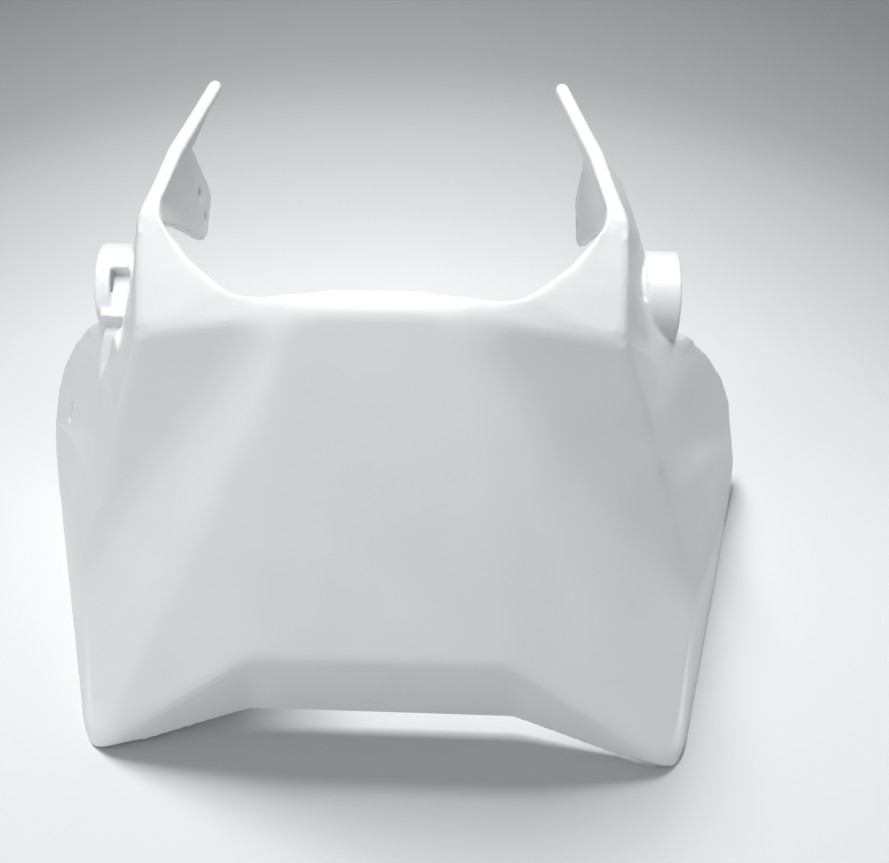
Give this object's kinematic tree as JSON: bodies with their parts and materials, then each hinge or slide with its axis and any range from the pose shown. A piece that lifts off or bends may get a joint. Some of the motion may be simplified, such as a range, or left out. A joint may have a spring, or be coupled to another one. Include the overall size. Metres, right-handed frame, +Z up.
{
  "type": "motorcycle fairing",
  "caption": "Moulded nose fairing for a motorcycle: creased front shell, raised deck, rear horns with bolting tabs, flared side wings and round side bosses.",
  "frame": {"origin": "bottom centre of the part's box, on the ground that its rims and front corners stand on", "axes": "+X across the part, to the right in the picture; +Y rearward, towards the horn tips; +Z up from the ground that it stands on"},
  "size_m": [0.3, 0.243, 0.1498],
  "materials": {
    "white_plastic": "satin moulded plastic, unpainted white"
  },
  "bodies": {
    "root": {"fairing_shell": "white_plastic"}
  },
  "joints": []
}
